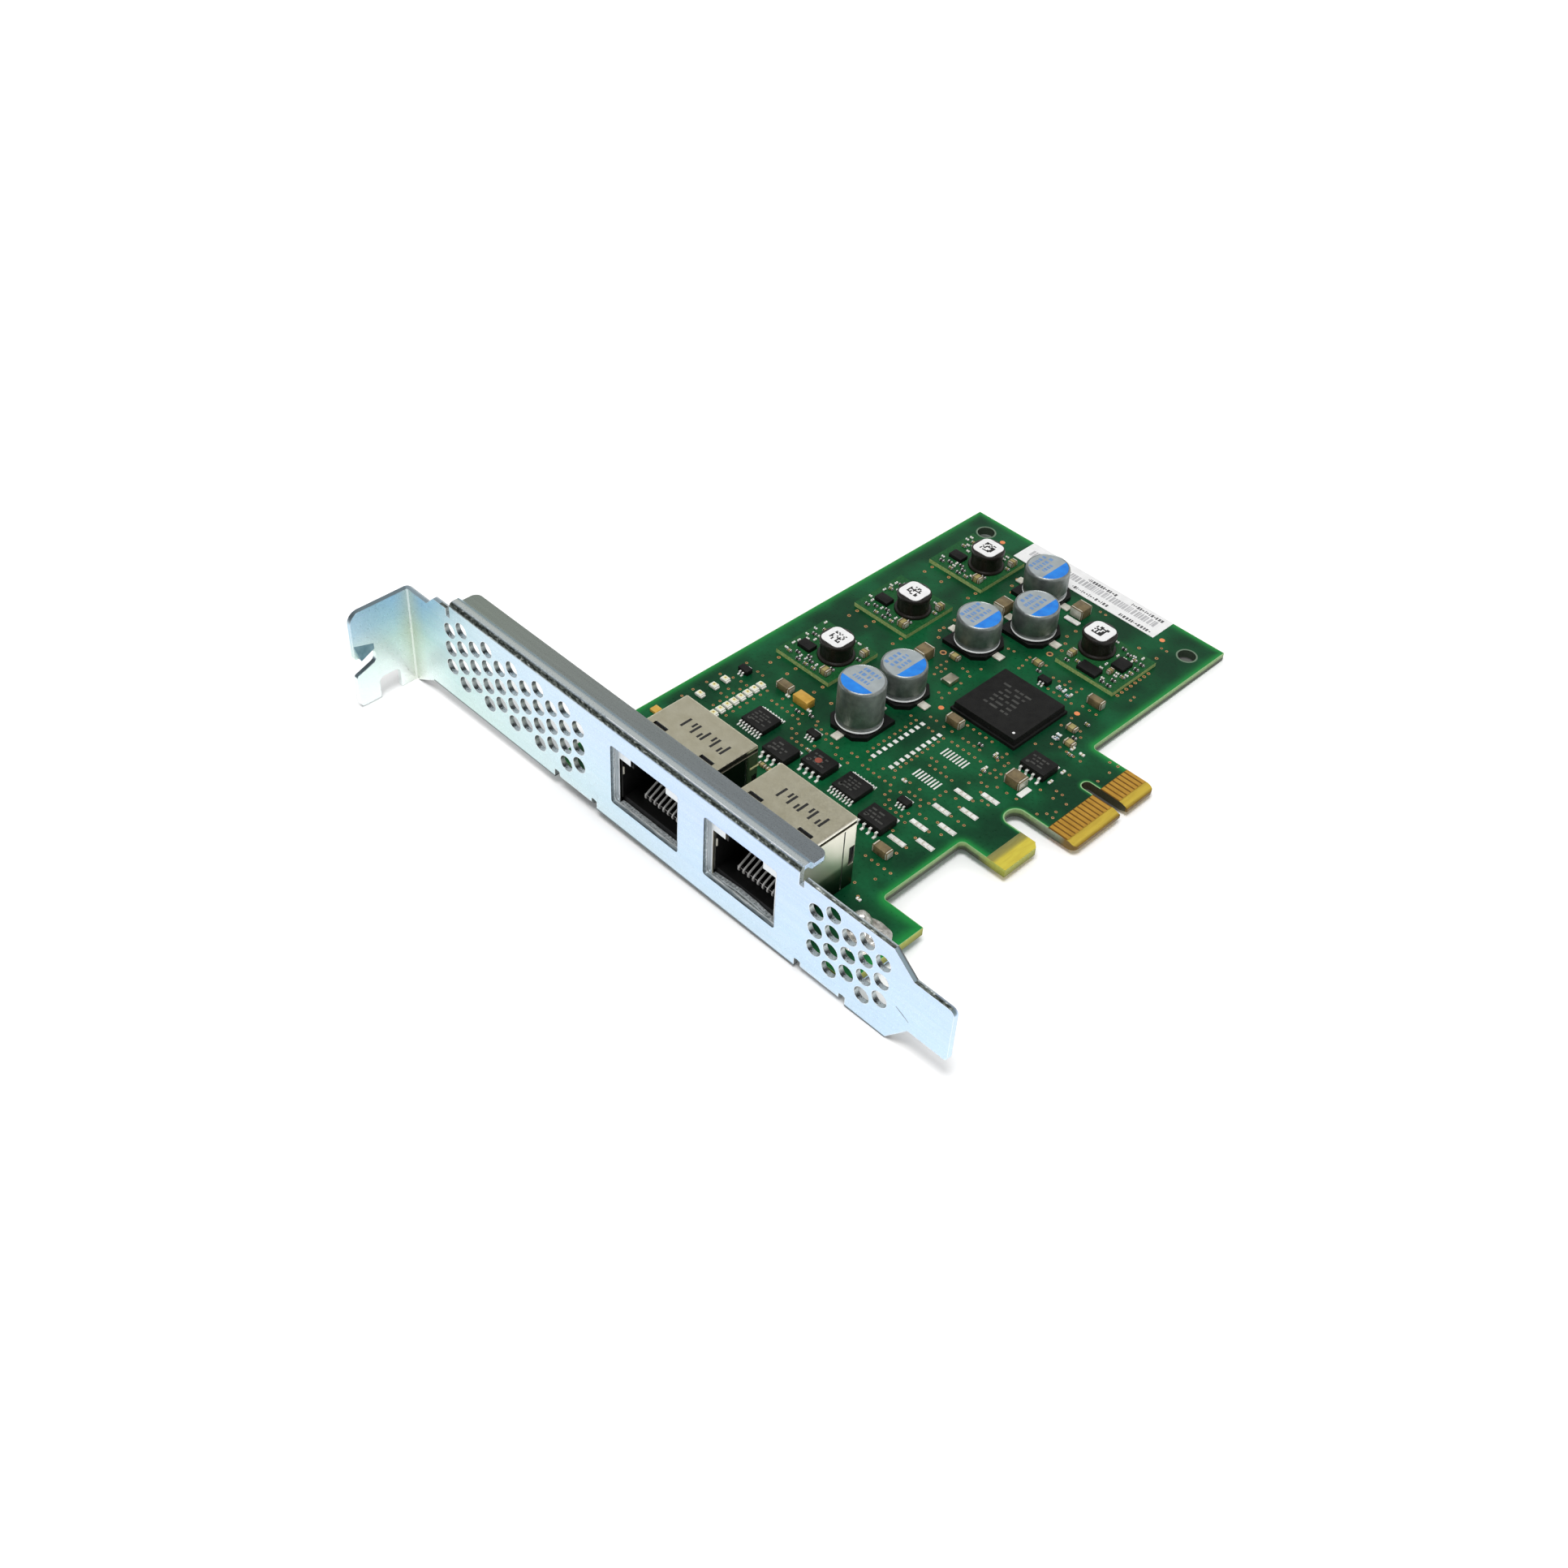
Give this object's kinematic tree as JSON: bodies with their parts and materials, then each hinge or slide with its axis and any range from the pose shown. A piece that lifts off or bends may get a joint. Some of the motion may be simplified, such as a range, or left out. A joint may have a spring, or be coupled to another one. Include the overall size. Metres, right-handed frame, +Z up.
{
  "type": "serial port card",
  "caption": "Flat serial port expansion card: green board with small electronic parts, card edge contacts, shielded modular sockets and a folded, perforated metal bracket.",
  "frame": {"origin": "middle of the card's bounding box at its lowest plane", "axes": "+X along the bracket towards its tail and the card edge, +Y from the bracket towards the far end of the board, +Z up from the component side"},
  "size_m": [0.1208, 0.1154, 0.0227],
  "materials": {
    "bracket_zinc": "bright zinc plate with fine grain",
    "board_green": "green solder mask on glass laminate",
    "contact_gold": "thin gold plate",
    "solder": "tinned, bright",
    "jack_tin": "satin tin plate",
    "black_plastic": "moulded, matt",
    "module_green": "green solder mask",
    "coil_black": "dark ferrite",
    "label_white": "printed white label",
    "can_grey": "grey sleeve-less can, satin",
    "chip_black": "moulded, matt",
    "ceramic_brown": "sintered brown ceramic",
    "tiny_part": "small ceramic part with tinned ends",
    "led_white": "white body with pale yellow lens",
    "crystal_metal": "plated lid",
    "tantalum_yellow": "yellow moulded body"
  },
  "bodies": {
    "root": {"bracket": "bracket_zinc", "circuit_board": "board_green", "edge_contacts_top": "contact_gold", "edge_contacts_bottom": "contact_gold", "bracket_rivets": "solder", "jack_solder_joints": "solder", "coil_labels": "label_white", "regulator_chips": "chip_black", "capacitor_terminals": "solder", "main_chip": "chip_black", "driver_leads": "solder", "eight_lead_chip_leads": "solder", "ceramic_bodies": "ceramic_brown", "ceramic_ends": "solder", "tiny_parts": "tiny_part", "indicator_leds": "led_white", "small_chips": "chip_black", "small_chip_leads": "solder", "crystal": "crystal_metal", "tantalum_capacitor": "tantalum_yellow", "amber_part": "tantalum_yellow", "board_label": "label_white", "jack_shield_1": "jack_tin", "jack_insert_1": "black_plastic", "jack_contacts_1": "contact_gold", "driver_chip_1": "chip_black", "jack_shield_2": "jack_tin", "jack_insert_2": "black_plastic", "jack_contacts_2": "contact_gold", "driver_chip_2": "chip_black", "regulator_board_1": "module_green", "regulator_coil_1": "coil_black", "eight_lead_chip_1": "chip_black", "regulator_board_2": "module_green", "regulator_coil_2": "coil_black", "eight_lead_chip_2": "chip_black", "regulator_board_3": "module_green", "regulator_coil_3": "coil_black", "eight_lead_chip_3": "chip_black", "regulator_board_4": "module_green", "regulator_coil_4": "coil_black", "eight_lead_chip_4": "chip_black", "capacitor_can_1": "can_grey", "capacitor_base_1": "black_plastic", "capacitor_can_2": "can_grey", "capacitor_base_2": "black_plastic", "capacitor_can_3": "can_grey", "capacitor_base_3": "black_plastic", "capacitor_can_4": "can_grey", "capacitor_base_4": "black_plastic", "capacitor_can_5": "can_grey", "capacitor_base_5": "black_plastic"}
  },
  "joints": []
}
